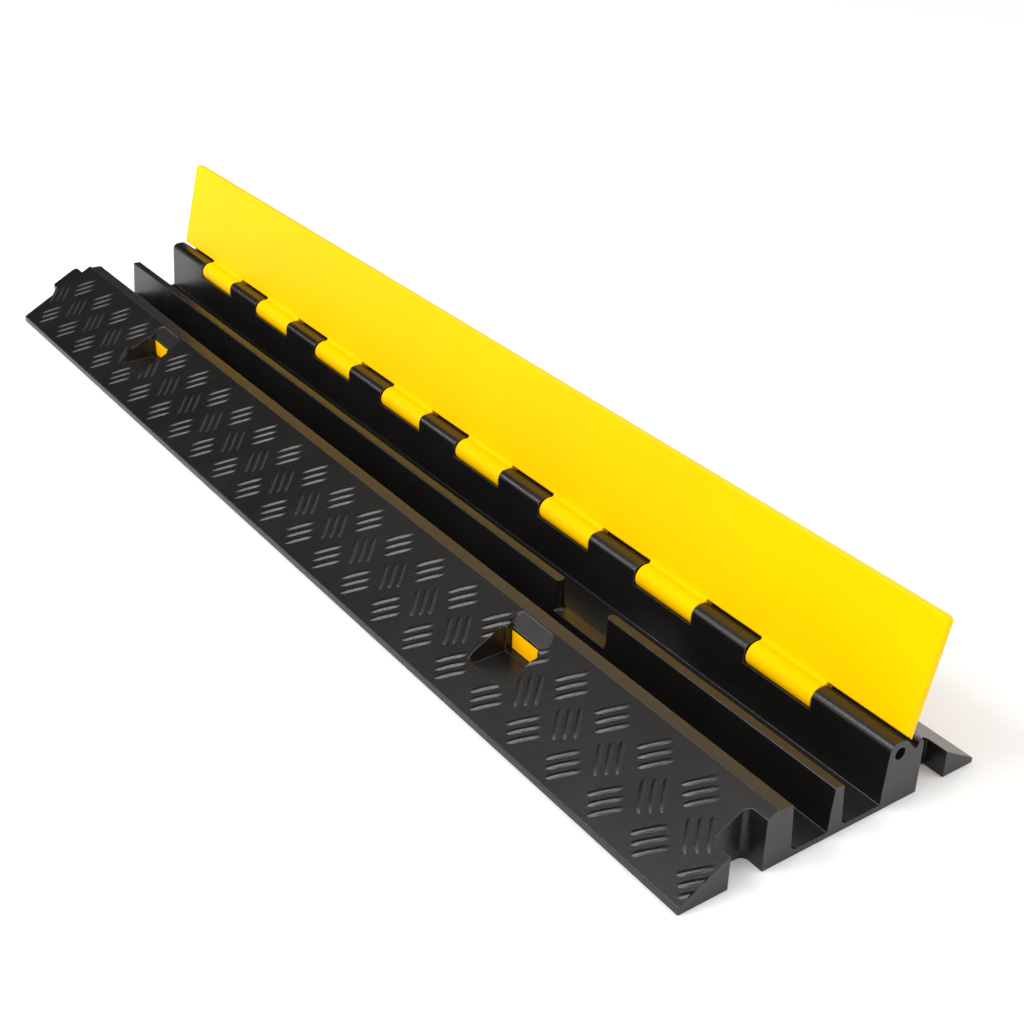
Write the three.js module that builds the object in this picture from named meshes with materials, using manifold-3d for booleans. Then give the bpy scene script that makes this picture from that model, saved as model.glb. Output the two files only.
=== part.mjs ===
// Floor cord cover: a rubber ramp with two cable channels and a hinged plastic lid.
// Millimetres. +X runs along the cover to its notched end, +Y to its back, +Z up.
// The origin is on the underside, below the middle of the divider.

import * as THREE from 'three';
import { ConvexGeometry } from 'three/addons/geometries/ConvexGeometry.js';
import { mergeVertices } from 'three/addons/utils/BufferGeometryUtils.js';
import Module from 'manifold-3d';

const wasm = await Module();
wasm.setup();

// Length, and the air that the tools need between two separate pieces
const LENGTH = 1000; // between the two end faces
const PIECE_GAP = 0.3; // between pieces that touch
const PAST = 5; // how far a cutter runs past the face it opens

// Channels and the divider between them
const FLOOR_THICKNESS = 4.5; // rubber under the cords
const DIVIDER_HEIGHT = 36.5; // top of the divider above the ground
const DIVIDER_TOP = 7; // its thickness at the top
const WALL_DRAFT = 2.5; // how much a channel wall leans over its height
const FRONT_CHANNEL = 34.5; // clear width at the top
const REAR_CHANNEL = 37.5;
const CHANNEL_FILLET = 4.5; // chamfer where a wall meets the floor
const EDGE_BREAK = 0.9; // small chamfer on the moulding's edges

// Lid and hinge
const AXIS_HEIGHT = 39; // hinge axis above the ground
const KNUCKLE_RADIUS = 9;
const KNUCKLE_CORNER = 5.5; // round of a base knuckle's upper front edge
const KNUCKLE_LIP_DROP = 5; // from the axis to the wall in front of a lid knuckle
const LID_THICKNESS = 6;
const LID_RISE = 2.5; // from the hinge axis to the closed lid's underside
const LID_REST_GAP = 0.2; // air between the closed lid and the ledge
const LID_FRONT_GAP = 7.5; // from the closed lid's free edge to the bead
const LID_END_GAP = 1; // from each end of the lid to the end faces
const LID_CORNER = 4; // corner radius of the free edge
const LID_OPEN_ANGLE = 104; // degrees from closed, where it leans on its stop
const LID_KNUCKLES = 8;
const LID_KNUCKLE_LENGTH = 60;
const KNUCKLE_SIDE_GAP = 0.9; // air at each side of a lid knuckle
const BASE_KNUCKLE_LENGTH = 53; // those between two lid knuckles
const KNUCKLE_ROUND_GAP = 0.7; // air around a turning knuckle
const PIN_RADIUS = 3;
const PIN_BORE_GAP = 0.35; // radial, in the base and in the lid
const PIN_RECESS = 5; // from the end face to the pin's end
const PIN_MOUTH_RADIUS = 4.3; // wider hole that the pin's end shows in

// Front ramp
const LEDGE_DEPTH = 11; // step that the lid's free edge rests on
const BEAD_HEIGHT = 1.2; // crest bead above the ledge
const BEAD_WIDTH = 1.3;
const FRONT_RUN = 71.7; // from the crest to the front toe
const FRONT_TOE = 5.2; // height of the front toe

// Rear ramp
const GROOVE_WIDTH = 6; // between the knuckles and the rear lip
const GROOVE_FLOOR_WIDTH = 2;
const GROOVE_HEIGHT = 37; // its floor above the ground
const REAR_LIP_HEIGHT = 3.5; // above the groove
const REAR_LIP_WIDTH = 6;
const REAR_RUN = 52; // from the rear lip to the rear toe
const REAR_DROP = 1.5; // from the groove's level to the top of the rear ramp
const REAR_TOE = 3.8;

// Tongues and notches that join one cover to the next
const TONGUE_LENGTH = 16;
const TONGUE_GAP = 0.5; // air around a tongue in its notch
const NOTCH_CORNER = 5; // rounded inner corner of a notch
const FRONT_NOTCH_FROM_TOE = 37.5;
const FRONT_NOTCH_WIDTH = 26.5;
const REAR_NOTCH_WIDTH = 24.7; // measured from the rear lip

// Gap in the divider, where a cord crosses from one channel to the other
const CROSSING_X = 254;
const CROSSING_LENGTH = 54;
const CROSSING_SILL = 11.5; // height of what is left of the divider

// Grip pockets in the front ramp, each with a coloured plate behind its window
const POCKETS = [
    { name: 'window_plate_near', x: 269.5 },
    { name: 'window_plate_far', x: -304.5 },
];
const POCKET_FROM_TOE = 26; // front edge of the pocket on the ramp
const POCKET_REACH = 30; // from that edge to the window's wall
const POCKET_MOUTH = 41.5; // width on the ramp
const POCKET_FLOOR_WIDTH = 38;
const POCKET_FLOOR_HEIGHT = 14.5;
const POCKET_FRONT_SLOPE = 6.6; // how far the front wall leans
const BRIDGE_SETBACK = 4.5; // from the window's wall to the front edge of the bridge over it
const BRIDGE_DROP = 3.4; // how far that edge lies below the ramp
const WINDOW_SILL = 1.3; // above the pocket floor
const WINDOW_WIDTH = 36;
const WINDOW_HEIGHT = 15.5;
const WINDOW_REVEAL = 5; // from the window's wall to its plate
const PLATE_THICKNESS = 3;

const KNUCKLE_SIDES = 40;
const PIN_SIDES = 20;
const ARC_STEPS = 8; // in each rounded part of the base's section
const toDegrees = THREE.MathUtils.radToDeg;

// Stations across the cover, counted from the middle of the divider
const dividerSide = DIVIDER_TOP / 2;
const ledgeBack = -(dividerSide + FRONT_CHANNEL);
const beadBack = ledgeBack - LEDGE_DEPTH;
const crest = beadBack - BEAD_WIDTH;
const frontToe = crest - FRONT_RUN;
const hingeFace = dividerSide + REAR_CHANNEL;
const axisY = hingeFace + KNUCKLE_RADIUS;
const grooveEnd = axisY + KNUCKLE_RADIUS + GROOVE_WIDTH;
const rearFace = grooveEnd + REAR_LIP_WIDTH;
const rearToe = rearFace + REAR_RUN;

// Heights that follow from the lid lying closed
const lidUnderside = AXIS_HEIGHT + LID_RISE;
const ledgeHeight = lidUnderside - LID_REST_GAP;
const crestHeight = ledgeHeight + BEAD_HEIGHT;
const rearCrestHeight = GROOVE_HEIGHT - REAR_DROP;
const frontSlope = (crestHeight - FRONT_TOE) / FRONT_RUN;
const topOfAll = Math.max(AXIS_HEIGHT + KNUCKLE_RADIUS, crestHeight, DIVIDER_HEIGHT) + PAST;

// How far a base knuckle's rounded corner stands from the hinge axis
const cornerReach = (KNUCKLE_RADIUS - KNUCKLE_CORNER) * Math.SQRT2 + KNUCKLE_CORNER;

function rampHeight(y) {
    return FRONT_TOE + frontSlope * (y - frontToe);
}

// Solids from three.js geometries, and meshes from solids

function toSolid(geometry) {
    geometry.deleteAttribute('normal');
    geometry.deleteAttribute('uv');
    const merged = mergeVertices(geometry, 1e-4);
    return new wasm.Manifold(new wasm.Mesh({
        numProp: 3,
        vertProperties: new Float32Array(merged.attributes.position.array),
        triVerts: new Uint32Array(merged.index.array),
    }));
}

function toMesh(name, solid, material) {
    const result = solid.getMesh();
    const geometry = new THREE.BufferGeometry();
    geometry.setAttribute('position', new THREE.BufferAttribute(result.vertProperties, 3));
    geometry.setIndex(new THREE.BufferAttribute(result.triVerts, 1));
    geometry.computeVertexNormals();
    const mesh = new THREE.Mesh(geometry, material);
    mesh.name = name;
    return mesh;
}

// A section of [y, z] points, drawn along X
function prismAlongX(section, x0, x1) {
    const shape = new THREE.Shape(section.map(([y, z]) => new THREE.Vector2(y, z)));
    const geometry = new THREE.ExtrudeGeometry(shape, { depth: x1 - x0, bevelEnabled: false });
    const turn = new THREE.Matrix4().makeBasis(
        new THREE.Vector3(0, 1, 0),
        new THREE.Vector3(0, 0, 1),
        new THREE.Vector3(1, 0, 0),
    );
    geometry.applyMatrix4(turn);
    geometry.translate(x0, 0, 0);
    return toSolid(geometry);
}

// An outline in plan, raised from one height to another
function prismUp(shape, z0, z1) {
    const geometry = new THREE.ExtrudeGeometry(shape, {
        depth: z1 - z0,
        bevelEnabled: false,
        curveSegments: 6,
    });
    geometry.translate(0, 0, z0);
    return toSolid(geometry);
}

function box(x0, x1, y0, y1, z0, z1) {
    const geometry = new THREE.BoxGeometry(x1 - x0, y1 - y0, z1 - z0);
    geometry.translate((x0 + x1) / 2, (y0 + y1) / 2, (z0 + z1) / 2);
    return toSolid(geometry);
}

function rod(radius, x0, x1, y, z, sides) {
    const geometry = new THREE.CylinderGeometry(radius, radius, x1 - x0, sides);
    geometry.rotateZ(Math.PI / 2);
    geometry.translate((x0 + x1) / 2, y, z);
    return toSolid(geometry);
}

// Points on a circle about [y, z], between two angles in degrees
function arc(y, z, radius, from, to, steps) {
    const points = [];
    for (let i = 0; i <= steps; i += 1) {
        const angle = THREE.MathUtils.degToRad(from + ((to - from) * i) / steps);
        points.push([y + radius * Math.cos(angle), z + radius * Math.sin(angle)]);
    }
    return points;
}

// Where each lid knuckle sits along the cover
function lidKnuckleCentres() {
    const pitch = LID_KNUCKLE_LENGTH + 2 * KNUCKLE_SIDE_GAP + BASE_KNUCKLE_LENGTH;
    const centres = [];
    for (let i = 0; i < LID_KNUCKLES; i += 1) {
        centres.push((i - (LID_KNUCKLES - 1) / 2) * pitch);
    }
    return centres;
}

// The whole section of the base, from the front toe round to the underside
function baseSection() {
    const dividerFoot = dividerSide + WALL_DRAFT;
    const wallFoot = FLOOR_THICKNESS + CHANNEL_FILLET;
    const lipTop = GROOVE_HEIGHT + REAR_LIP_HEIGHT;
    const knuckleCorner = [
        hingeFace + KNUCKLE_CORNER,
        AXIS_HEIGHT + KNUCKLE_RADIUS - KNUCKLE_CORNER,
    ];

    // The slope behind the knuckles leaves them where it touches their round
    const slopeFoot = grooveEnd - GROOVE_FLOOR_WIDTH;
    const footAngle = Math.atan2(GROOVE_HEIGHT - AXIS_HEIGHT, slopeFoot - axisY);
    const footReach = Math.hypot(slopeFoot - axisY, GROOVE_HEIGHT - AXIS_HEIGHT);
    const touchAngle = footAngle + Math.acos(KNUCKLE_RADIUS / footReach);
    return [
        [frontToe, 0],
        [rearToe, 0],
        [rearToe, REAR_TOE],
        [rearFace, rearCrestHeight],
        [rearFace - EDGE_BREAK, lipTop - EDGE_BREAK],
        [rearFace - 2 * EDGE_BREAK, lipTop],
        [grooveEnd + REAR_LIP_HEIGHT / 2, lipTop],
        [grooveEnd, GROOVE_HEIGHT],
        [slopeFoot, GROOVE_HEIGHT],
        ...arc(axisY, AXIS_HEIGHT, KNUCKLE_RADIUS, toDegrees(touchAngle), 90, ARC_STEPS),
        ...arc(...knuckleCorner, KNUCKLE_CORNER, 90, 180, ARC_STEPS),
        [hingeFace - WALL_DRAFT, wallFoot],
        [hingeFace - WALL_DRAFT - CHANNEL_FILLET, FLOOR_THICKNESS],
        [dividerFoot + CHANNEL_FILLET, FLOOR_THICKNESS],
        [dividerFoot, wallFoot],
        [dividerSide, DIVIDER_HEIGHT - EDGE_BREAK],
        [dividerSide - EDGE_BREAK, DIVIDER_HEIGHT],
        [-dividerSide + EDGE_BREAK, DIVIDER_HEIGHT],
        [-dividerSide, DIVIDER_HEIGHT - EDGE_BREAK],
        [-dividerFoot, wallFoot],
        [-dividerFoot - CHANNEL_FILLET, FLOOR_THICKNESS],
        [ledgeBack + WALL_DRAFT + CHANNEL_FILLET, FLOOR_THICKNESS],
        [ledgeBack + WALL_DRAFT, wallFoot],
        [ledgeBack + EDGE_BREAK, ledgeHeight - 2 * EDGE_BREAK],
        [ledgeBack - EDGE_BREAK, ledgeHeight],
        [beadBack, ledgeHeight],
        [beadBack - EDGE_BREAK / 2, crestHeight],
        [crest, crestHeight],
        [frontToe, FRONT_TOE],
    ];
}

// Room for one lid knuckle: round below the axis, open to the channel and straight up
function knuckleWindow(centre) {
    const half = LID_KNUCKLE_LENGTH / 2 + KNUCKLE_SIDE_GAP;
    const radius = KNUCKLE_RADIUS + KNUCKLE_ROUND_GAP;
    const lipAngle = toDegrees(Math.asin(KNUCKLE_LIP_DROP / radius)) - 180;
    const section = [
        ...arc(axisY, AXIS_HEIGHT, radius, lipAngle, 0, KNUCKLE_SIDES / 2),
        [axisY + radius, topOfAll],
        [hingeFace - WALL_DRAFT - PAST, topOfAll],
        [hingeFace - WALL_DRAFT - PAST, AXIS_HEIGHT - KNUCKLE_LIP_DROP],
    ];
    return prismAlongX(section, centre - half, centre + half);
}

// A notch in the +X end face, with a rounded inner corner on its uphill side
function notch(toeSide, bodySide) {
    const inner = LENGTH / 2 - TONGUE_LENGTH - TONGUE_GAP;
    const outer = LENGTH / 2 + PAST;
    const uphill = Math.sign(bodySide - toeSide);
    const shape = new THREE.Shape();
    shape.moveTo(outer, toeSide);
    shape.lineTo(inner, toeSide);
    shape.lineTo(inner, bodySide - uphill * NOTCH_CORNER);
    shape.quadraticCurveTo(inner, bodySide, inner + NOTCH_CORNER, bodySide);
    shape.lineTo(outer, bodySide);
    shape.closePath();
    return prismUp(shape, -PAST, topOfAll);
}

// One tongue's outline at the -X end, with the same rounded corner
function tongueOutline(toeSide, bodySide) {
    const tip = -LENGTH / 2 - TONGUE_LENGTH;
    const root = -LENGTH / 2 + PAST;
    const uphill = Math.sign(bodySide - toeSide);
    const low = toeSide + uphill * TONGUE_GAP;
    const high = bodySide - uphill * TONGUE_GAP;
    const round = NOTCH_CORNER + TONGUE_GAP;
    const shape = new THREE.Shape();
    shape.moveTo(root, low);
    shape.lineTo(tip + round / 2, low);
    shape.quadraticCurveTo(tip, low, tip, low + uphill * round / 2);
    shape.lineTo(tip, high - uphill * round);
    shape.quadraticCurveTo(tip, high, tip + round, high);
    shape.lineTo(root, high);
    shape.closePath();
    return shape;
}

// The gap in the divider, whose two ends are round in plan
function crossing() {
    const half = CROSSING_LENGTH / 2;
    const foot = dividerSide + WALL_DRAFT;
    const reach = foot + CHANNEL_FILLET / 2;
    const low = CROSSING_X - half - foot;
    const high = CROSSING_X + half + foot;
    const shape = new THREE.Shape();
    shape.moveTo(low, -reach);
    shape.lineTo(high, -reach);
    shape.lineTo(high, -foot);
    shape.absarc(high, 0, foot, -Math.PI / 2, Math.PI / 2, true);
    shape.lineTo(high, reach);
    shape.lineTo(low, reach);
    shape.lineTo(low, foot);
    shape.absarc(low, 0, foot, Math.PI / 2, -Math.PI / 2, true);
    shape.closePath();
    return prismUp(shape, CROSSING_SILL, topOfAll);
}

// Stations of a grip pocket, on the slope of the front ramp
const pocketFront = frontToe + POCKET_FROM_TOE;
const pocketWall = pocketFront + POCKET_REACH;
const windowLow = POCKET_FLOOR_HEIGHT + WINDOW_SILL;
const windowHigh = windowLow + WINDOW_HEIGHT;
const plateFace = pocketWall + WINDOW_REVEAL;
const recessEnd = plateFace + PLATE_THICKNESS + PIECE_GAP;
const bridgeFront = pocketWall + BRIDGE_SETBACK;
const bridgeFrontHeight = rampHeight(bridgeFront) - BRIDGE_DROP;

// The hollow of one grip pocket, its window and the room for the plate
function gripPocket(x) {
    const mouth = POCKET_MOUTH / 2;
    const floor = POCKET_FLOOR_WIDTH / 2;
    const corners = [];
    for (const side of [-1, 1]) {
        const frontRise = rampHeight(pocketFront) - POCKET_FLOOR_HEIGHT;
        const wallRise = rampHeight(pocketWall) - POCKET_FLOOR_HEIGHT;
        corners.push(
            new THREE.Vector3(x + side * floor, pocketFront + POCKET_FRONT_SLOPE, POCKET_FLOOR_HEIGHT),
            new THREE.Vector3(x + side * floor, pocketWall, POCKET_FLOOR_HEIGHT),
            new THREE.Vector3(
                x + side * (2 * mouth - floor),
                pocketFront - POCKET_FRONT_SLOPE,
                POCKET_FLOOR_HEIGHT + 2 * frontRise,
            ),
            new THREE.Vector3(
                x + side * (2 * mouth - floor),
                pocketWall,
                POCKET_FLOOR_HEIGHT + 2 * wallRise,
            ),
        );
    }
    const hollow = toSolid(new ConvexGeometry(corners));
    const aboveBridge = prismAlongX([
        [bridgeFront, bridgeFrontHeight],
        [crest, crestHeight],
        [crest, topOfAll],
        [bridgeFront, topOfAll],
    ], x - mouth, x + mouth);
    const windowLeft = x - WINDOW_WIDTH / 2;
    const windowRight = x + WINDOW_WIDTH / 2;
    const wallStart = pocketWall - PIECE_GAP;
    const beforeBridge = box(windowLeft, windowRight, wallStart, bridgeFront, windowLow, topOfAll);
    const window = box(windowLeft, windowRight, wallStart, recessEnd, windowLow, windowHigh);
    return hollow.add(aboveBridge).add(beforeBridge).add(window);
}

// The base: one rubber moulding with its knuckles, tongues and notches
function buildBase() {
    const farTip = -LENGTH / 2 - TONGUE_LENGTH;
    const frontLow = frontToe + FRONT_NOTCH_FROM_TOE;
    const frontHigh = frontLow + FRONT_NOTCH_WIDTH;
    const rearLow = rearFace + REAR_NOTCH_WIDTH;
    let base = prismAlongX(baseSection(), farTip - PAST, LENGTH / 2);

    const beyondFarEnd = box(
        farTip - 2 * PAST, -LENGTH / 2,
        frontToe - PAST, rearToe + PAST,
        -PAST, topOfAll,
    );
    const frontTongue = prismUp(tongueOutline(frontLow, frontHigh), -2 * PAST, topOfAll + PAST);
    const rearTongue = prismUp(tongueOutline(rearLow, rearFace), -2 * PAST, topOfAll + PAST);
    base = base.subtract(beyondFarEnd.subtract(frontTongue).subtract(rearTongue));

    base = base.subtract(notch(frontLow, frontHigh));
    base = base.subtract(notch(rearLow, rearFace));
    base = base.subtract(crossing());
    for (const pocket of POCKETS) {
        base = base.subtract(gripPocket(pocket.x));
    }
    for (const centre of lidKnuckleCentres()) {
        base = base.subtract(knuckleWindow(centre));
    }

    const end = LENGTH / 2;
    const bore = PIN_RADIUS + PIN_BORE_GAP;
    base = base.subtract(rod(bore, -end - PAST, end + PAST, axisY, AXIS_HEIGHT, PIN_SIDES));
    for (const side of [-1, 1]) {
        const inside = side * (end - PIN_RECESS);
        const outside = side * (end + PAST);
        const mouth = rod(
            PIN_MOUTH_RADIUS,
            Math.min(inside, outside), Math.max(inside, outside),
            axisY, AXIS_HEIGHT, PIN_SIDES,
        );
        base = base.subtract(mouth);
    }
    return base;
}

// The lid as it lies closed, with its hinge axis on the origin
function buildLid() {
    const half = LENGTH / 2 - LID_END_GAP;
    const under = LID_RISE;
    const top = LID_RISE + LID_THICKNESS;
    const freeEdge = beadBack + LID_FRONT_GAP - axisY;
    const shape = new THREE.Shape();
    shape.moveTo(-half, 0);
    shape.lineTo(-half, freeEdge + LID_CORNER);
    shape.quadraticCurveTo(-half, freeEdge, -half + LID_CORNER, freeEdge);
    shape.lineTo(half - LID_CORNER, freeEdge);
    shape.quadraticCurveTo(half, freeEdge, half, freeEdge + LID_CORNER);
    shape.lineTo(half, 0);
    shape.closePath();
    const plate = prismUp(shape, under, top);

    // The plate is hollowed so that it clears the knuckles of the base as it turns
    const hollow = cornerReach + KNUCKLE_ROUND_GAP;
    let lid = plate.subtract(rod(hollow, -half - PAST, half + PAST, 0, 0, KNUCKLE_SIDES));
    for (const centre of lidKnuckleCentres()) {
        const x0 = centre - LID_KNUCKLE_LENGTH / 2;
        const x1 = centre + LID_KNUCKLE_LENGTH / 2;
        const web = box(x0, x1, -hollow - EDGE_BREAK, 0, under, top);
        const knuckle = rod(KNUCKLE_RADIUS, x0, x1, 0, 0, KNUCKLE_SIDES);
        lid = lid.add(web).add(knuckle);
    }
    const bore = PIN_RADIUS + PIN_BORE_GAP;
    return lid.subtract(rod(bore, -half - PAST, half + PAST, 0, 0, PIN_SIDES));
}

function buildWindowPlate(x) {
    return box(
        x - WINDOW_WIDTH / 2 + PIECE_GAP, x + WINDOW_WIDTH / 2 - PIECE_GAP,
        plateFace, plateFace + PLATE_THICKNESS,
        windowLow + PIECE_GAP, windowHigh - PIECE_GAP,
    );
}

// Finishes
const rubber = new THREE.MeshStandardMaterial({ color: 0x2a2928, roughness: 0.62, metalness: 0 });
const yellowPlastic = new THREE.MeshStandardMaterial({ color: 0xffdc05, roughness: 0.38, metalness: 0 });
const amberPlastic = new THREE.MeshStandardMaterial({ color: 0xfdb608, roughness: 0.4, metalness: 0 });
const steel = new THREE.MeshStandardMaterial({ color: 0x8b8d90, roughness: 0.35, metalness: 1 });

// Assembly
const cordCover = new THREE.Group();
cordCover.add(toMesh('ramp_base', buildBase(), rubber));

const pinEnd = LENGTH / 2 - PIN_RECESS;
const pin = rod(PIN_RADIUS, -pinEnd, pinEnd, axisY, AXIS_HEIGHT, PIN_SIDES);
cordCover.add(toMesh('hinge_pin', pin, steel));

for (const pocket of POCKETS) {
    cordCover.add(toMesh(pocket.name, buildWindowPlate(pocket.x), amberPlastic));
}

const hinge = new THREE.Group();
hinge.position.set(0, axisY, AXIS_HEIGHT);
hinge.rotation.x = -THREE.MathUtils.degToRad(LID_OPEN_ANGLE);
hinge.add(toMesh('lid', buildLid(), yellowPlastic));
cordCover.add(hinge);

export default cordCover;
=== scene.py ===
# Looks of the floor cord cover: rounded rubber base with its tread, open lid, pin and plates.

import math

import bmesh
import bpy
from mathutils import Matrix, Vector


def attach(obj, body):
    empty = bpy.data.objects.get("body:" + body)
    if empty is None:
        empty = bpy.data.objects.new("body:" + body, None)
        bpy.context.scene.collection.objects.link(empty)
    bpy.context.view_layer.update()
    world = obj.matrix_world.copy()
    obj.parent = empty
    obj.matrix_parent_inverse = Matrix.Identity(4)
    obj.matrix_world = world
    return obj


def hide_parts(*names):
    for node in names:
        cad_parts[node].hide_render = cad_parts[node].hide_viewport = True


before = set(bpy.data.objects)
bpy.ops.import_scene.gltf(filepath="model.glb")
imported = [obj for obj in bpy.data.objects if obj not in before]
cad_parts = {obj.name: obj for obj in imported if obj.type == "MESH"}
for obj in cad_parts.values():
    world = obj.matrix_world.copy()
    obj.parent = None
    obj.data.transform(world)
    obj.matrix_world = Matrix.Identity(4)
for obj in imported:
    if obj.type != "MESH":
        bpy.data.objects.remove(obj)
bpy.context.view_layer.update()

MM = 0.001  # in the scene's metres

# Sizes in millimetres: the CAD model's, with finer edges and fillets, and the tread
# X runs along the cover, Y back towards the hinge and Z up
LENGTH = 1000
HALF = LENGTH / 2
FLOOR = 4.5
WALL_DRAFT = 2.5
CHANNEL_FILLET = 5
SEEN_FILLET = 1.3  # at the feet of the walls that face the front

# Divider, and the gap in it
DIVIDER_HEIGHT = 36.5
DIVIDER_SIDE = 3.5
CROSSING_X = 254
CROSSING_HALF = 27
CROSSING_SILL = 11.5
CROSSING_FILLET = 3

# Front ramp, from its toe to the ledge that the closed lid lies on
FRONT_TOE_Y = -122
FRONT_TOE = 5.2
CREST = -50.3
CREST_HEIGHT = 42.5
BEAD_BACK = -49
BEAD_LEAN = 0.2
LEDGE = 41.3
LEDGE_BACK = -38
LEDGE_FALL = 0.75  # towards the channel, where the CAD model's ledge is level

# Rear body and rear ramp
HINGE_FACE = 41
AXIS_Y = 50
AXIS_Z = 39
SLOPE_TOP = (57, 44.7)
SLOPE_FOOT = 63
GROOVE = 37
GROOVE_END = 65
GROOVE_LEAN = 1.75
LIP = 40.5
REAR_FACE = 71
REAR_FACE_LEAN = 0.6
REAR_CREST = 35.5
REAR_TOE_Y = 123
REAR_TOE = 3.8

# Hinge: knuckles, bore and pin
KNUCKLE = 9
KNUCKLE_CORNER = 5.5
KNUCKLE_GAP = 0.7
KNUCKLE_LIP_DROP = 5
KNUCKLE_PITCH = 114.8
KNUCKLE_SIDE_GAP = 0.9
KNUCKLES = 8
LID_KNUCKLE = 60
LID_FILLET = 3.2
BORE_RADIUS = 3.35
PIN_RADIUS = 3
PIN_CHAMFER = 0.7
PIN_MOUTH = 4.3
PIN_RECESS = 5

# Tongues and notches that join two covers, each from its toe side to its body side
TONGUE = 16
TONGUE_GAP = 0.5
FRONT_TONGUE = (-84.5, -58)
REAR_TONGUE = (95.7, 71)

# Grip pockets in the front ramp, with a bridge over the window at their back
POCKETS = {"near": 269.5, "far": -304.5}
POCKET_FRONT = -96
POCKET_WALL = -66
POCKET_MOUTH_HALF = 20.75
POCKET_FLOOR_HALF = 19
POCKET_FLOOR = 14.5
POCKET_FRONT_LEAN = 3  # steeper than in the CAD model, round the same rim
BRIDGE_FRONT = -61.5
BRIDGE_FRONT_HEIGHT = 33.3
BRIDGE_DEPTH = 0.9  # of the dip at its back, which lies as far in front of the crest
WINDOW_LOW = 15.8
WINDOW_HIGH = 31.3
WINDOW_HALF = 18
WINDOW_GAP = 0.3  # round a window's plate
PLATE_FACE = -61
PLATE_THICKNESS = 3
PLATE_CORNER = 0.6

# Lid, with the hinge axis at Y = 0
LID_UNDER = 2.5
LID_TOP = 8.5
LID_EDGE = -91.5
LID_ROOT = -5
LID_HALF = 499
LID_CORNER = 4
LID_NOTCH = 11.15  # radius of the room round the axis between two lid knuckles
LID_OPEN = 104  # degrees from closed

# Tread bars in groups of three, with turns and the smoothing angle in degrees
BAR_LENGTH = 24
BAR_WIDTH = 4.4
BAR_HEIGHT = 0.85
BAR_SPACING = 7.2
BAR_SINK = 0.6
TREAD_PITCH = 42.07
TREAD_ROW_STEP = 21.2
TREAD_TURN = 51
TREAD_SECOND_TURN = -48.5
TREAD_SMOOTH = 60
FRONT_TREAD_X = 12.3
FRONT_TREAD_UP = 40  # from the toe up the ramp, to the middle row
REAR_TREAD_X = 10
REAR_TREAD_UP = 30
TREAD_END_GAP = 0.8
LAST_GROUP = (481, -78)  # past this X and uphill of this Y, the ramp has no bars
SMALLEST_BAR = 7.1  # what a cut leaves of a bar is taken out below this size

PAST = 20  # from what a cutter cuts to its own end
TALL = 60  # a height above every piece that is cut

SHARP = 32  # degrees: a sharper edge is rounded, and a flatter one smoothed
TINY = 0.02  # points that are nearer to each other than this become one

RAMP_SLOPE = math.atan2(CREST_HEIGHT - FRONT_TOE, CREST - FRONT_TOE_Y)
REAR_SLOPE = math.atan2(REAR_CREST - REAR_TOE, REAR_TOE_Y - REAR_FACE)


def ramp_height(y):
    return FRONT_TOE + math.tan(RAMP_SLOPE) * (y - FRONT_TOE_Y)


# Outlines and solids

def rounded(corners, step=12):
    """An outline through the corners (a, b, radius), with an arc wherever a radius is given."""
    points = []
    for i, (a, b, radius) in enumerate(corners):
        here = Vector((a, b))
        if radius == 0:
            points.append(here)
            continue
        back = (Vector(corners[i - 1][:2]) - here).normalized()
        ahead = (Vector(corners[(i + 1) % len(corners)][:2]) - here).normalized()
        inside = back.angle(ahead)
        centre = here + (back + ahead).normalized() * radius / math.sin(inside / 2)
        first = here + back * radius / math.tan(inside / 2) - centre
        last = here + ahead * radius / math.tan(inside / 2) - centre
        start = math.atan2(first.y, first.x)
        sweep = (math.atan2(last.y, last.x) - start + math.pi) % (2 * math.pi) - math.pi
        count = max(2, round(abs(math.degrees(sweep)) / step))
        for k in range(count + 1):
            turn = start + sweep * k / count
            points.append(centre + radius * Vector((math.cos(turn), math.sin(turn))))
    return points


def arc(a, b, radius, start, end, count):
    """Points on a circle about (a, b), between two angles in degrees."""
    turns = [math.radians(start + (end - start) * k / count) for k in range(count + 1)]
    return [Vector((a + radius * math.cos(t), b + radius * math.sin(t))) for t in turns]


def circle(a, b, radius, sides):
    return arc(a, b, radius, 0, 360 - 360 / sides, sides - 1)


def new_object(name, bm):
    bmesh.ops.recalc_face_normals(bm, faces=bm.faces)
    mesh = bpy.data.meshes.new(name)
    bm.to_mesh(mesh)
    bm.free()
    obj = bpy.data.objects.new(name, mesh)
    bpy.context.scene.collection.objects.link(obj)
    return obj


def loft(name, rings):
    """A closed body through rings of points in millimetres, with a face on each end."""
    bm = bmesh.new()
    made = [[bm.verts.new(Vector(p) * MM) for p in ring] for ring in rings]
    count = len(made[0])
    for low, high in zip(made, made[1:]):
        for i in range(count):
            j = (i + 1) % count
            bm.faces.new((low[i], low[j], high[j], high[i]))
    bm.faces.new(made[0])
    bm.faces.new(made[-1])
    return new_object(name, bm)


def along(name, section, x0, x1):
    """A section of (y, z) points, drawn along X."""
    return loft(name, [[(x, p[0], p[1]) for p in section] for x in (x0, x1)])


def upright(name, outline, z0, z1):
    """An outline of (x, y) points, raised from one height to another."""
    return loft(name, [[(p[0], p[1], z) for p in outline] for z in (z0, z1)])


def block(name, x0, x1, y0, y1):
    return upright(name, [(x0, y0), (x1, y0), (x1, y1), (x0, y1)], -PAST, TALL)


def combine(obj, other, operation="DIFFERENCE"):
    """Cuts obj by, or joins it with, another closed body, which is used up."""
    modifier = obj.modifiers.new("combine", "BOOLEAN")
    modifier.object = other
    modifier.operation = operation
    modifier.solver = "MANIFOLD"
    take_modifiers(obj)
    bpy.data.objects.remove(other)


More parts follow.
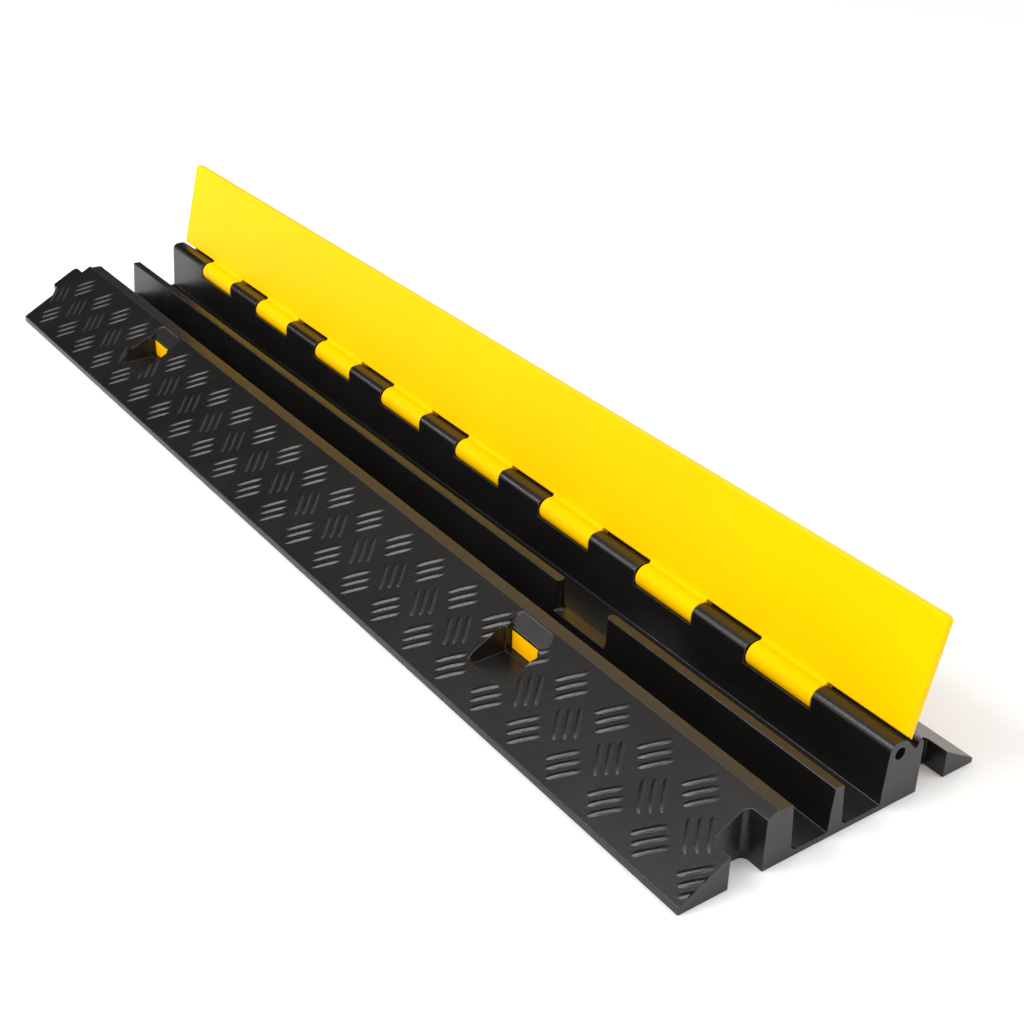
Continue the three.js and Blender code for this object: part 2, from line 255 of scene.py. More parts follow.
def take_modifiers(obj):
    """Makes obj's mesh what its modifiers make of it."""
    graph = bpy.context.evaluated_depsgraph_get()
    mesh = bpy.data.meshes.new_from_object(obj.evaluated_get(graph))
    obj.modifiers.clear()
    obj.data = mesh


def smooth(obj, angle):
    """Smooth shading over every edge that is flatter than an angle in degrees."""
    obj.data.shade_smooth()
    obj.data.set_sharp_from_angle(angle=math.radians(angle))


def make_triangles(obj):
    """Cuts every face into triangles and deletes any two that lie back to back."""
    bm = bmesh.new()
    bm.from_mesh(obj.data)
    bmesh.ops.dissolve_degenerate(bm, dist=TINY * MM, edges=bm.edges)
    bmesh.ops.triangulate(bm, faces=bm.faces)
    alike = {}
    for face in bm.faces:
        alike.setdefault(frozenset(face.verts), []).append(face)
    doubled = [face for faces in alike.values() if len(faces) > 1 for face in faces]
    bmesh.ops.delete(bm, geom=doubled, context="FACES")
    bm.to_mesh(obj.data)
    bm.free()


def drop_crumbs(obj, size):
    """Deletes loose bits that are smaller than a size in millimetres."""
    bm = bmesh.new()
    bm.from_mesh(obj.data)
    left = set(bm.verts)
    crumbs = []
    while left:
        bit = [left.pop()]
        for vert in bit:
            for edge in vert.link_edges:
                other = edge.other_vert(vert)
                if other in left:
                    left.remove(other)
                    bit.append(other)
        spans = [max(v.co[i] for v in bit) - min(v.co[i] for v in bit) for i in range(3)]
        if max(spans) < size * MM:
            crumbs += bit
    bmesh.ops.delete(bm, geom=crumbs, context="VERTS")
    bm.to_mesh(obj.data)
    bm.free()


def soften(obj, width, segments=2):
    """Rounds the sharp edges, and smooths what is left flatter than that."""
    bm = bmesh.new()
    bm.from_mesh(obj.data)
    bmesh.ops.remove_doubles(bm, verts=bm.verts, dist=TINY * MM)
    flat = math.radians(0.4)
    bmesh.ops.dissolve_limit(
        bm, angle_limit=flat, verts=bm.verts, edges=bm.edges, delimit={"NORMAL"}
    )
    bm.to_mesh(obj.data)
    bm.free()
    bevel = obj.modifiers.new("soften", "BEVEL")
    bevel.width = width * MM
    bevel.segments = segments
    bevel.limit_method = "ANGLE"
    bevel.angle_limit = math.radians(SHARP)
    bevel.use_clamp_overlap = False
    bevel.miter_outer = "MITER_ARC"
    take_modifiers(obj)
    make_triangles(obj)
    smooth(obj, SHARP)
    weighted = obj.modifiers.new("normals", "WEIGHTED_NORMAL")
    weighted.keep_sharp = True
    take_modifiers(obj)


# Rubber base

def base_section():
    """The section of the base, with every long edge already rounded."""
    foot = math.atan2(GROOVE - AXIS_Z, SLOPE_FOOT - AXIS_Y)
    reach = math.hypot(SLOPE_FOOT - AXIS_Y, GROOVE - AXIS_Z)
    touch = math.degrees(foot + math.acos(KNUCKLE / reach))
    side = DIVIDER_SIDE
    under_round = 0.7
    hinge_top = (HINGE_FACE, AXIS_Z + KNUCKLE)
    outline = rounded([
        (FRONT_TOE_Y, 0, under_round),
        (REAR_TOE_Y, 0, under_round),
        (REAR_TOE_Y, REAR_TOE, 1.3),
        (REAR_FACE, REAR_CREST, 0.8),
        (REAR_FACE - REAR_FACE_LEAN, LIP, 1),
        (GROOVE_END + GROOVE_LEAN, LIP, 0.8),
        (GROOVE_END, GROOVE, 0.5),
        (SLOPE_FOOT, GROOVE, 0.5),
        (*SLOPE_TOP, 0),
        (*hinge_top, 0),
        (HINGE_FACE - WALL_DRAFT, FLOOR, SEEN_FILLET),
        (side + WALL_DRAFT, FLOOR, CHANNEL_FILLET),
        (side, DIVIDER_HEIGHT, 1),
        (-side, DIVIDER_HEIGHT, 1),
        (-side - WALL_DRAFT, FLOOR, SEEN_FILLET),
        (LEDGE_BACK + WALL_DRAFT, FLOOR, CHANNEL_FILLET),
        (LEDGE_BACK, LEDGE - LEDGE_FALL, 1.2),
        (BEAD_BACK, LEDGE, 0.3),
        (BEAD_BACK - BEAD_LEAN, CREST_HEIGHT, 0.45),
        (CREST, CREST_HEIGHT, 0.6),
        (FRONT_TOE_Y, FRONT_TOE, 1.6),
    ])
    knuckle = [
        *arc(AXIS_Y, AXIS_Z, KNUCKLE, touch, 90, 8),
        *arc(HINGE_FACE + KNUCKLE_CORNER, AXIS_Z + KNUCKLE - KNUCKLE_CORNER,
             KNUCKLE_CORNER, 90, 180, 10),
    ]
    low, high = [outline.index(Vector(point)) for point in (SLOPE_TOP, hinge_top)]
    return outline[:low] + knuckle + outline[high + 1:]


def end_notch(toe_side, body_side):
    """Room for a tongue in the +X end, with a wide round at its uphill inner corner."""
    inner = HALF - TONGUE - TONGUE_GAP
    outline = rounded([
        (HALF + PAST, toe_side, 0),
        (inner, toe_side, 0.8),
        (inner, body_side, 5),
        (HALF + PAST, body_side, 0),
    ])
    return upright("notch", outline, -PAST, TALL)


def far_end_cutter():
    """What is cut away beyond the -X end face, so that only the two tongues are left."""
    beyond = -HALF - 2 * PAST
    front, rear = FRONT_TOE_Y - PAST, REAR_TOE_Y + PAST
    corners = [(beyond, front, 0), (-HALF, front, 0)]
    toe_round, body_round = 2.5, 5
    for sides, rounds in (
        (FRONT_TONGUE, (toe_round, body_round)),
        (REAR_TONGUE[::-1], (body_round, toe_round)),
    ):
        low, high = sides[0] + TONGUE_GAP, sides[1] - TONGUE_GAP
        corners += [
            (-HALF, low, 0.8),
            (-HALF - TONGUE, low, rounds[0]),
            (-HALF - TONGUE, high, rounds[1]),
            (-HALF, high, 0.8),
        ]
    corners += [(-HALF, rear, 0), (beyond, rear, 0)]
    return upright("far_end", rounded(corners), -PAST, TALL)


def knuckle_window(x):
    """Room in the base for one lid knuckle."""
    half = LID_KNUCKLE / 2 + KNUCKLE_SIDE_GAP
    radius = KNUCKLE + KNUCKLE_GAP
    lip = math.degrees(math.asin(KNUCKLE_LIP_DROP / radius)) - 180
    front = HINGE_FACE - KNUCKLE
    section = [
        *arc(AXIS_Y, AXIS_Z, radius, lip, 0, 24),
        Vector((AXIS_Y + radius, TALL)),
        Vector((front, TALL)),
        Vector((front, AXIS_Z - KNUCKLE_LIP_DROP)),
    ]
    return along("window", section, x - half, x + half)


def crossing_cutter():
    """The gap in the divider: its ends are round in plan and run out in a fillet at the sill."""
    draft = WALL_DRAFT / (DIVIDER_HEIGHT - FLOOR)
    side = DIVIDER_SIDE + 2 * WALL_DRAFT
    past_wall = 0.15
    steps = 6
    levels = []
    for k in range(steps + 1):
        turn = math.pi / 2 * k / steps
        levels.append((CROSSING_SILL + CROSSING_FILLET * (1 - math.cos(turn)),
                       CROSSING_FILLET * (1 - math.sin(turn))))
    levels.append((TALL, 0))
    rings = []
    for z, run in levels:
        radius = DIVIDER_SIDE + draft * (DIVIDER_HEIGHT - z) + past_wall
        low = CROSSING_X - CROSSING_HALF + run - radius
        high = CROSSING_X + CROSSING_HALF - run + radius
        outline = [
            Vector((low, -side)),
            Vector((high, -side)),
            *arc(high, 0, radius, 270, 90, 16),
            Vector((high, side)),
            Vector((low, side)),
            *arc(low, 0, radius, 90, -90, 16),
        ]
        rings.append([(p.x, p.y, z) for p in outline])
    return loft("crossing", rings)


def pocket_hollow(x):
    """The hollow of a grip pocket, which widens towards its mouth."""
    mouth_front = POCKET_FRONT - POCKET_FRONT_LEAN
    mouth_half = 2 * POCKET_MOUTH_HALF - POCKET_FLOOR_HALF
    wall_round = 0.6
    low, high = [
        rounded([(x - half, front, radius), (x + half, front, radius),
                 (x + half, POCKET_WALL, wall_round), (x - half, POCKET_WALL, wall_round)])
        for half, front, radius in (
            (POCKET_FLOOR_HALF, POCKET_FRONT + POCKET_FRONT_LEAN, 2.5),
            (mouth_half, mouth_front, 3.5),
        )
    ]
    # The upper ring is as far above the ramp as the floor is below it, so the rim is halfway
    rings = [
        [(p.x, p.y, POCKET_FLOOR) for p in low],
        [(p.x, p.y, 2 * ramp_height((p.y + q.y) / 2) - POCKET_FLOOR) for p, q in zip(high, low)],
    ]
    return loft("hollow", rings)


def bridge_dip(x):
    """The shallow dip in the top of the bridge over a pocket's window."""
    back = CREST - BRIDGE_DEPTH
    rise = (CREST_HEIGHT - BRIDGE_DEPTH - BRIDGE_FRONT_HEIGHT) / (back - BRIDGE_FRONT)
    dip = rounded([
        (x - POCKET_MOUTH_HALF, BRIDGE_FRONT, 0),
        (x + POCKET_MOUTH_HALF, BRIDGE_FRONT, 0),
        (x + POCKET_MOUTH_HALF, back, 8),
        (x - POCKET_MOUTH_HALF, back, 4),
    ])
    rings = [[(p.x, p.y, BRIDGE_FRONT_HEIGHT + rise * (p.y - BRIDGE_FRONT)) for p in dip],
             [(p.x, p.y, TALL) for p in dip]]
    return loft("bridge", rings)


def pocket_window(x):
    """The opening in a pocket's back wall, with its plate's seat and a slot up to the bridge."""
    front = POCKET_WALL - WINDOW_GAP
    back = PLATE_FACE + PLATE_THICKNESS + WINDOW_GAP
    slot_back = BRIDGE_FRONT + 0.1  # just into the bridge, so that no thin skin is left
    section = [Vector(point) for point in (
        (front, WINDOW_LOW),
        (back, WINDOW_LOW),
        (back, WINDOW_HIGH),
        (slot_back, WINDOW_HIGH),
        (slot_back, TALL),
        (front, TALL),
    )]
    return along("opening", section, x - WINDOW_HALF, x + WINDOW_HALF)


def cut_pockets(obj):
    for x in POCKETS.values():
        for make_cutter in (pocket_hollow, bridge_dip, pocket_window):
            combine(obj, make_cutter(x))


def rod(name, radius, x0, x1):
    return along(name, circle(AXIS_Y, AXIS_Z, radius, 48), x0, x1)


def knuckle_places():
    return [(i - (KNUCKLES - 1) / 2) * KNUCKLE_PITCH for i in range(KNUCKLES)]


def build_base():
    base = along("rubber_base", base_section(), -HALF - PAST, HALF)
    combine(base, far_end_cutter())
    combine(base, end_notch(*FRONT_TONGUE))
    combine(base, end_notch(*REAR_TONGUE))
    combine(base, crossing_cutter())
    cut_pockets(base)
    for x in knuckle_places():
        combine(base, knuckle_window(x))
    end = HALF - PIN_RECESS
    combine(base, rod("bore", BORE_RADIUS, -HALF - PAST, HALF + PAST))
    combine(base, rod("mouth", PIN_MOUTH, end, HALF + PAST))
    combine(base, rod("mouth", PIN_MOUTH, -HALF - PAST, -end))
    soften(base, width=0.38)
    return base


# Tread bars on both ramps

def bar_trio():
    """Three low ridges side by side with rounded ends, lying along X on the plane Z = 0."""
    bm = bmesh.new()
    long_steps, cross_steps = 16, 8
    for middle in (-BAR_SPACING, 0, BAR_SPACING):
        rows = []
        for i in range(1, long_steps):
            u = -math.cos(math.pi * i / long_steps)
            x = u * BAR_LENGTH / 2
            half = BAR_WIDTH / 2 * (1 - abs(u) ** 5) ** 0.5
            height = BAR_HEIGHT * (1 - abs(u) ** 3)
            points = []
            for j in range(cross_steps + 1):
                v = 2 * j / cross_steps - 1
                z = height * math.cos(math.pi / 2 * v) ** 1.2 if abs(v) < 1 else 0
                points.append((x, middle + v * half, z))
            points += [(x, middle + half, -BAR_SINK), (x, middle - half, -BAR_SINK)]
            rows.append([bm.verts.new(Vector(point) * MM) for point in points])
        count = len(rows[0])
        for low, high in zip(rows, rows[1:]):
            for j in range(count):
                n = (j + 1) % count
                bm.faces.new((low[j], low[n], high[n], high[j]))
        bm.faces.new(rows[0])
        bm.faces.new(rows[-1])
    return new_object("bar_trio", bm)


def calculate(tree, operation, a, b):
    """A math node in a geometry or shader tree; a and b are numbers or other nodes' outputs."""
    made = tree.nodes.new("ShaderNodeMath")
    made.operation = operation
    for socket, value in zip(made.inputs, (a, b)):
        if isinstance(value, (int, float)):
            socket.default_value = value
        else:
            tree.links.new(value, socket)
    return made.outputs[0]


def tread_nodes():
    """Geometry nodes that lay bar groups on a staggered lattice.

    Every second row is set back by half a pitch, and its groups have a turn of their own.
    """
    tree = bpy.data.node_groups.new("tread_lattice", "GeometryNodeTree")
    ask = tree.interface
    ask.new_socket("Geometry", in_out="OUTPUT", socket_type="NodeSocketGeometry")
    for name, kind, value in (
        ("Columns", "NodeSocketInt", 23),
        ("Rows", "NodeSocketInt", 3),
        ("Pitch", "NodeSocketFloat", TREAD_PITCH * MM),
        ("Row step", "NodeSocketFloat", TREAD_ROW_STEP * MM),
        ("Turn", "NodeSocketFloat", math.radians(TREAD_TURN)),
        ("Turn of second row", "NodeSocketFloat", math.radians(TREAD_SECOND_TURN)),
    ):
        socket = ask.new_socket(name, in_out="INPUT", socket_type=kind)
        socket.default_value = value
    ask.new_socket("Bars", in_out="INPUT", socket_type="NodeSocketObject")
    ask.new_socket("Material", in_out="INPUT", socket_type="NodeSocketMaterial")

    node = tree.nodes.new
    link = tree.links.new
    given = node("NodeGroupInput").outputs
    grid = node("GeometryNodeMeshGrid")
    for count, step, axis in (("Columns", "Pitch", "X"), ("Rows", "Row step", "Y")):
        link(given[count], grid.inputs["Vertices " + axis])
        steps = calculate(tree, "SUBTRACT", given[count], 1)
        link(calculate(tree, "MULTIPLY", steps, given[step]), grid.inputs["Size " + axis])

    # A grid counts its points row after row within each column
    index = node("GeometryNodeInputIndex").outputs[0]
    in_column = calculate(tree, "MODULO", index, given["Rows"])
    second = calculate(tree, "MODULO", in_column, 2)

    set_back = calculate(tree, "MULTIPLY", given["Pitch"], -0.5)
    shift = node("ShaderNodeCombineXYZ")
    link(calculate(tree, "MULTIPLY", second, set_back), shift.inputs[0])
    place = node("GeometryNodeSetPosition")
    link(grid.outputs["Mesh"], place.inputs["Geometry"])
    link(shift.outputs[0], place.inputs["Offset"])

    change = calculate(tree, "SUBTRACT", given["Turn of second row"], given["Turn"])
    turned = calculate(tree, "ADD", given["Turn"], calculate(tree, "MULTIPLY", second, change))
    turn = node("ShaderNodeCombineXYZ")
    link(turned, turn.inputs[2])

    bars = node("GeometryNodeObjectInfo")
    link(given["Bars"], bars.inputs["Object"])
    scatter = node("GeometryNodeInstanceOnPoints")
    link(place.outputs[0], scatter.inputs["Points"])
    link(bars.outputs["Geometry"], scatter.inputs["Instance"])
    link(turn.outputs[0], scatter.inputs["Rotation"])
    real = node("GeometryNodeRealizeInstances")
    link(scatter.outputs[0], real.inputs[0])
    dress = node("GeometryNodeSetMaterial")
    link(real.outputs[0], dress.inputs["Geometry"])
    link(given["Material"], dress.inputs["Material"])
    link(dress.outputs[0], node("NodeGroupOutput").inputs[0])
    return tree


def lay_tread(name, tree, trio, material, matrix, **values):
    """One ramp's bars as a plain mesh, moved from the lattice's own plane to the ramp."""
    holder = bpy.data.objects.new(name, bpy.data.meshes.new(name))
    bpy.context.scene.collection.objects.link(holder)
    modifier = holder.modifiers.new("tread", "NODES")
    modifier.node_group = tree
    values.update({"Bars": trio, "Material": material})
    for item in tree.interface.items_tree:
        if item.in_out == "INPUT" and item.name in values:
            modifier[item.identifier] = values[item.name]
    take_modifiers(holder)
    holder.data.transform(matrix)
    smooth(holder, TREAD_SMOOTH)
    return holder


def ramp_matrix(x, toe_y, toe_z, slope, up, flip):
    """Places the lattice's plane on a ramp, its Y axis uphill and its middle up from the toe."""
    run = up * math.cos(slope)
    place = Vector((x, toe_y - run if flip else toe_y + run, toe_z + up * math.sin(slope)))
    turn = Matrix.Rotation(math.pi if flip else 0, 4, "Z")
    return Matrix.Translation(place * MM) @ turn @ Matrix.Rotation(slope, 4, "X")


def trim_front_tread(tread):
    """Cuts the bars away at the pockets, the notch and the end, and takes out small scraps."""
    cut_pockets(tread)
    combine(tread, end_notch(*FRONT_TONGUE))
    combine(tread, block("end", HALF - TREAD_END_GAP, HALF + PAST, FRONT_TOE_Y - PAST, LEDGE_BACK))
    combine(tread, block("last_group", LAST_GROUP[0], HALF + PAST, LAST_GROUP[1], LEDGE_BACK))
    drop_crumbs(tread, SMALLEST_BAR)
    make_triangles(tread)
    smooth(tread, TREAD_SMOOTH)


# Lid, pin and window plates

def lid_matrix():
    """From the closed lid's own frame, with the hinge on the origin, to the open lid."""
    return (Matrix.Translation(Vector((0, AXIS_Y, AXIS_Z)) * MM)
            @ Matrix.Rotation(-math.radians(LID_OPEN), 4, "X"))


def build_lid():
    """One moulding: the plate, hollowed round the hinge axis, and its knuckles."""
    outline = rounded([
        (-LID_HALF, LID_ROOT, 0),
        (-LID_HALF, LID_EDGE, LID_CORNER),
        (LID_HALF, LID_EDGE, LID_CORNER),
        (LID_HALF, LID_ROOT, 0),
    ])
    lid = upright("yellow_lid", outline, LID_UNDER, LID_TOP)
    combine(lid, along("hollow", circle(0, 0, LID_NOTCH, 72), -HALF - PAST, HALF + PAST))

    lean = math.asin((LID_UNDER - LID_FILLET) / (KNUCKLE + LID_FILLET))
    foot = (KNUCKLE + LID_FILLET) * math.cos(lean)
    lean_degrees = math.degrees(lean)
    top = math.degrees(math.asin(LID_TOP / KNUCKLE))
    inside_plate = -foot - 1.5  # so that the knuckle and the plate overlap
    section = [
        *arc(0, 0, KNUCKLE, top, -180 - lean_degrees, 32),
        *arc(-foot, LID_UNDER - LID_FILLET, LID_FILLET, -lean_degrees, 90, 6),
        Vector((inside_plate, LID_UNDER)),
        Vector((inside_plate, LID_TOP)),
    ]
    half = LID_KNUCKLE / 2
    for x in knuckle_places():
        combine(lid, along("knuckle", section, x - half, x + half), "UNION")
    combine(lid, along("bore", circle(0, 0, BORE_RADIUS, 32), -HALF - PAST, HALF + PAST))
    soften(lid, width=0.8, segments=3)
    lid.data.transform(lid_matrix())
    return lid


def build_pin():
    """A drawn rod with chamfered ends."""
    end = HALF - PIN_RECESS
    tip = PIN_RADIUS - PIN_CHAMFER
    full = end - PIN_CHAMFER
    rings = []
    for x, radius in ((-end, tip), (-full, PIN_RADIUS), (full, PIN_RADIUS), (end, tip)):
        rings.append([(x, p.x, p.y) for p in circle(AXIS_Y, AXIS_Z, radius, 40)])
    pin = loft("steel_pin", rings)
    smooth(pin, SHARP)
    return pin


def build_plate(name, x):
    half = WINDOW_HALF - WINDOW_GAP
    low, high = WINDOW_LOW + WINDOW_GAP, WINDOW_HIGH - WINDOW_GAP
    outline = rounded([
        (x - half, low, PLATE_CORNER),
        (x + half, low, PLATE_CORNER),
        (x + half, high, PLATE_CORNER),
        (x - half, high, PLATE_CORNER),
    ])
    rings = [[(p.x, y, p.y) for p in outline] for y in (PLATE_FACE, PLATE_FACE + PLATE_THICKNESS)]
    plate = loft(name, rings)
    soften(plate, width=0.4)
    return plate


# Materials

def effect_group(name, asked, given):
    """An empty shader node group with number inputs and outputs."""
    tree = bpy.data.node_groups.new(name, "ShaderNodeTree")
    add = tree.interface.new_socket
    for socket_name, value in asked:
        socket = add(socket_name, in_out="INPUT", socket_type="NodeSocketFloat")
        socket.default_value = value
    for socket_name in given:
        add(socket_name, in_out="OUTPUT", socket_type="NodeSocketFloat")
    return tree, tree.nodes.new("NodeGroupInput"), tree.nodes.new("NodeGroupOutput")


def noise(tree, scale, detail, stretch=(1, 1, 1)):
    """Noise on object coordinates, whose scale is a number or a group's input."""
    place = tree.nodes.new("ShaderNodeTexCoord")
    mapping = tree.nodes.new("ShaderNodeMapping")
    mapping.inputs["Scale"].default_value = stretch
    made = tree.nodes.new("ShaderNodeTexNoise")
    made.inputs["Detail"].default_value = detail
    tree.links.new(place.outputs["Object"], mapping.inputs["Vector"])
    tree.links.new(mapping.outputs[0], made.inputs["Vector"])
    if isinstance(scale, (int, float)):
        made.inputs["Scale"].default_value = scale
    else:
        tree.links.new(scale, made.inputs["Scale"])
    return made.outputs["Fac"]


def spread(tree, value, low, high, start=0.3, end=0.7):
    """value from start to end, spread from low to high."""
    made = tree.nodes.new("ShaderNodeMapRange")
    made.inputs["From Min"].default_value = start
    made.inputs["From Max"].default_value = end
    made.inputs["To Min"].default_value = low
    made.inputs["To Max"].default_value = high
    tree.links.new(value, made.inputs["Value"])
    return made.outputs[0]


def moulded_skin():
    """The fine grain of a moulded skin, and slow clouds of lighter and darker, from 0 to 1."""
    tree, asked, given = effect_group(
        "moulded_skin", (("Grain scale", 1400), ("Cloud scale", 14)), ("Grain", "Cloud"))
    grain = noise(tree, asked.outputs["Grain scale"], 2)
    cloud = noise(tree, asked.outputs["Cloud scale"], 5)
    tree.links.new(spread(tree, grain, 0, 1), given.inputs["Grain"])
    tree.links.new(spread(tree, cloud, 0, 1), given.inputs["Cloud"])
    return tree


def painted_edge_highlight():
    """1 on an edge, where a paler colour paints a highlight, and 0 on the flats, broken up by
    noise and fading low in the channels, which lie in shade.
    """
    tree, asked, given = effect_group(
        "painted_edge_highlight", (("Width", 0.9 * MM), ("Break up", 180)), ("Mask",))
    turned = tree.nodes.new("ShaderNodeBevel")
    turned.samples = 4
    tree.links.new(asked.outputs["Width"], turned.inputs["Radius"])
    flat = tree.nodes.new("ShaderNodeNewGeometry")
    dot = tree.nodes.new("ShaderNodeVectorMath")
    dot.operation = "DOT_PRODUCT"
    tree.links.new(turned.outputs[0], dot.inputs[0])
    tree.links.new(flat.outputs["Normal"], dot.inputs[1])
    rim = spread(tree, dot.outputs["Value"], low=1, high=0, start=0.92, end=0.998)
    spots = noise(tree, asked.outputs["Break up"], 3)
    patches = spread(tree, spots, low=0.35, high=1, start=0.35, end=0.6)
    place = tree.nodes.new("ShaderNodeTexCoord")
    parts = tree.nodes.new("ShaderNodeSeparateXYZ")
    tree.links.new(place.outputs["Object"], parts.inputs[0])
    # the painted highlight fades low in the channels, where shade falls
    high = spread(tree, parts.outputs["Z"], low=0.1, high=1, start=9 * MM, end=14 * MM)
    shown = calculate(tree, "MULTIPLY", rim, patches)
    tree.links.new(calculate(tree, "MULTIPLY", shown, high), given.inputs["Mask"])
    return tree


def place_group(material_tree, group, **values):
    made = material_tree.nodes.new("ShaderNodeGroup")
    made.node_tree = group
    for name, value in values.items():
        made.inputs[name.replace("_", " ")].default_value = value
    return made.outputs


def blend(tree, amount, first, second):
    """From the first colour to the second; each is a colour or another node's output."""
    made = tree.nodes.new("ShaderNodeMix")
    made.data_type = "RGBA"
    tree.links.new(amount, made.inputs["Factor"])
    for socket, value in zip((made.inputs[6], made.inputs[7]), (first, second)):
        if isinstance(value, tuple):
            socket.default_value = (*value, 1)
        else:
            tree.links.new(value, socket)
    return made.outputs[2]


def principled(name, **sockets):
    material = bpy.data.materials.new(name)
    material.use_nodes = True
    shader = material.node_tree.nodes["Principled BSDF"]
    for key, value in sockets.items():
        shader.inputs[key.replace("_", " ")].default_value = value
    return material, material.node_tree, shader


def bump(tree, shader, height, distance):
    made = tree.nodes.new("ShaderNodeBump")
    made.inputs["Distance"].default_value = distance
    made.inputs["Strength"].default_value = 0.3
    tree.links.new(height, made.inputs["Height"])
    tree.links.new(made.outputs[0], shader.inputs["Normal"])


def moulded_material(name, dark, light, highlight_colour, rough, skin_values, grain_depth, **sockets):
    """A moulded rubber or plastic: clouded colour, grain, rougher edges, and a highlight painted
    on the edges as a paler colour.
    """
    cloud_rough, edge_rough = 0.03, 0.06
    material, tree, shader = principled(name, **sockets)
    skin = place_group(tree, skin_group, **skin_values)
    highlight_mask = place_group(tree, painted_highlight_group)["Mask"]
    tint = blend(tree, skin["Cloud"], dark, light)
    # the paler colour on the edges is a painted highlight
    tree.links.new(blend(tree, highlight_mask, tint, highlight_colour), shader.inputs["Base Color"])
    clouded = spread(tree, skin["Cloud"], rough - cloud_rough, rough + cloud_rough, 0, 1)
    rougher = calculate(tree, "MULTIPLY", highlight_mask, edge_rough)
    tree.links.new(calculate(tree, "ADD", clouded, rougher), shader.inputs["Roughness"])
    bump(tree, shader, skin["Grain"], grain_depth)
    return material


def steel_material():
    material, tree, shader = principled("drawn_steel", Metallic=1)
    streaks = spread(tree, noise(tree, 60, 4, (1, 30, 30)), 0, 1)
    tree.links.new(blend(tree, streaks, (0.2, 0.2, 0.21), (0.38, 0.38, 0.39)),
                   shader.inputs["Base Color"])
    tree.links.new(spread(tree, streaks, 0.28, 0.45, 0, 1), shader.inputs["Roughness"])
    return material


RUBBER_DARK = (0.0050, 0.0047, 0.0045)
RUBBER_LIGHT = (0.0078, 0.0073, 0.0070)
# The paler rubber on the edges is a painted highlight.
RUBBER_EDGE_HIGHLIGHT = (0.07, 0.066, 0.063)


def rubber_material(name, highlight_colour):
    return moulded_material(
        name, RUBBER_DARK, RUBBER_LIGHT, highlight_colour, 0.27,
        {"Grain_scale": 1100, "Cloud_scale": 14}, 0.2 * MM,
        IOR=1.48, Specular_Tint=(1, 0.96, 0.93, 1),
    )


def plastic_material(name, dark, light, highlight_colour, rough, cloud_scale):
    return moulded_material(
        name, dark, light, highlight_colour, rough,
        {"Grain_scale": 800, "Cloud_scale": cloud_scale}, 0.08 * MM,
        IOR=1.45, Specular_IOR_Level=0.12, Specular_Tint=(1, 0.7, 0, 1),
    )


skin_group = moulded_skin()
painted_highlight_group = painted_edge_highlight()
rubber = rubber_material("black_rubber", RUBBER_EDGE_HIGHLIGHT)
tread_rubber = rubber_material("tread_rubber", RUBBER_LIGHT)
# The third colour of each plastic is its paler edge: a painted highlight.
yellow = plastic_material(
    "yellow_plastic", (0.98, 0.52, 0), (1, 0.56, 0), (1, 0.64, 0.03), 0.42, 5
)
amber = plastic_material(
    "amber_plastic", (1, 0.47, 0), (1, 0.51, 0), (1, 0.56, 0.02), 0.45, 9
)
steel = steel_material()


# Pieces

def finish_piece(obj, material, body, slot, *nodes):
    obj.data.materials.clear()
    obj.data.materials.append(material)
    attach(obj, body)
    if nodes:
        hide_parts(*nodes)


base = build_base()
finish_piece(base, rubber, "base", "base_rubber", "ramp_base")

trio = bar_trio()
lattice = tread_nodes()
front_tread = lay_tread(
    "front_tread", lattice, trio, tread_rubber,
    ramp_matrix(FRONT_TREAD_X, FRONT_TOE_Y, FRONT_TOE, RAMP_SLOPE, FRONT_TREAD_UP, False),
    Columns=24,
)
trim_front_tread(front_tread)
finish_piece(front_tread, tread_rubber, "base", "base_rubber")

rear_tread = lay_tread(
    "rear_tread", lattice, trio, tread_rubber,
    ramp_matrix(REAR_TREAD_X, REAR_TOE_Y, REAR_TOE, REAR_SLOPE, REAR_TREAD_UP, True),
    Columns=22, Rows=2,
)
finish_piece(rear_tread, tread_rubber, "base", "base_rubber")
bpy.data.objects.remove(trio)

lid = build_lid()
finish_piece(lid, yellow, "cover_lid", "lid_plastic", "lid")
pin = build_pin()
finish_piece(pin, steel, "base", "pin_steel", "hinge_pin")
for side, x in POCKETS.items():
    plate = build_plate("plate_" + side, x)
    finish_piece(plate, amber, "base", "window_plastic", "window_plate_" + side)


# Floor, light and camera

floor_bm = bmesh.new()
bmesh.ops.create_grid(floor_bm, x_segments=1, y_segments=1, size=9)
floor = new_object("studio_floor", floor_bm)
floor_material = principled(
    "studio_floor", Roughness=0.9, Base_Color=(0.86, 0.86, 0.86, 1), Specular_IOR_Level=0.1
)[0]
floor.data.materials.append(floor_material)


def area_light(name, power, size, place, target=(0, 0, 0)):
    """A softbox, in metres and watts, that faces its target."""
    data = bpy.data.lights.new(name, "AREA")
    data.energy = power
    data.shape = "RECTANGLE"
    data.size, data.size_y = size
    lamp = bpy.data.objects.new(name, data)
    lamp.location = place
    lamp.rotation_euler = (Vector(target) - Vector(place)).to_track_quat("-Z", "Y").to_euler()
    bpy.context.scene.collection.objects.link(lamp)


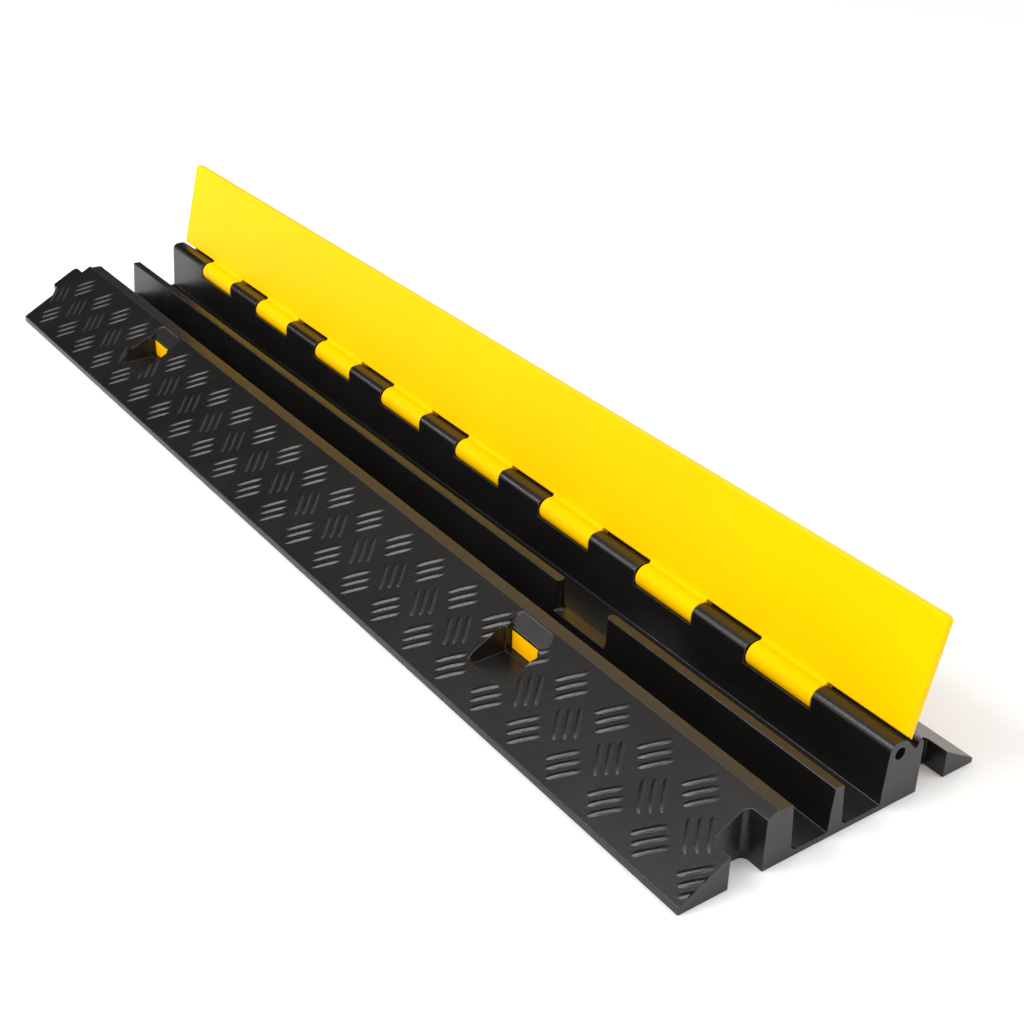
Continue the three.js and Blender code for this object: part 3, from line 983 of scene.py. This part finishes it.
area_light("front_box", 50, (1.8, 1.1), (-0.45, -2.0, 2.2))
area_light("left_box", 13, (0.9, 0.6), (-1.97, -1.86, 1.05))
area_light("right_box", 8, (1.2, 1.2), (1.5, 1.1, 1.8), (0.9, 0.7, 0))


def studio_world():
    """Even white light from all round, which falls off to dark low behind the far end."""
    world = bpy.data.worlds.new("studio")
    bpy.context.scene.world = world
    world.use_nodes = True
    tree = world.node_tree
    place = tree.nodes.new("ShaderNodeTexCoord")
    towards = tree.nodes.new("ShaderNodeVectorMath")
    towards.operation = "DOT_PRODUCT"
    towards.inputs[1].default_value = (-0.95, 0, 0.31)
    tree.links.new(place.outputs["Generated"], towards.inputs[0])
    strength = spread(tree, towards.outputs["Value"], low=1.12, high=0.03, start=0.66, end=0.93)
    shader = tree.nodes["Background"]
    shader.inputs["Color"].default_value = (1, 1, 1, 1)
    tree.links.new(strength, shader.inputs["Strength"])


studio_world()

# Angles in degrees, and the picture's width and focal length in pixels
CAMERA = {"azimuth": 54.19, "elevation": 29.89, "roll": 1.23, "width": 1024, "focal": 1619.3}
CAMERA_PLACE = (95.8, -15.2, 1320.7)  # millimetres to its right, up and back


def make_camera():
    """The photograph's camera, whose place is given along its own right, up and back."""
    a, e, r = [math.radians(CAMERA[key]) for key in ("azimuth", "elevation", "roll")]
    back = Vector((math.sin(a) * math.cos(e), -math.cos(a) * math.cos(e), math.sin(e)))
    level = Vector((0, 0, 1)).cross(back).normalized()
    upward = back.cross(level)
    right = math.cos(r) * level + math.sin(r) * upward
    up = -math.sin(r) * level + math.cos(r) * upward
    data = bpy.data.cameras.new("camera")
    data.lens = CAMERA["focal"] / CAMERA["width"] * data.sensor_width
    camera = bpy.data.objects.new("camera", data)
    x, y, z = CAMERA_PLACE
    spot = (right * x + up * y + back * z) * MM
    turn = Matrix((right, up, back)).transposed().to_4x4()
    camera.matrix_world = Matrix.Translation(spot) @ turn
    bpy.context.scene.collection.objects.link(camera)
    bpy.context.scene.camera = camera


make_camera()
bpy.context.scene.view_settings.view_transform = "Standard"
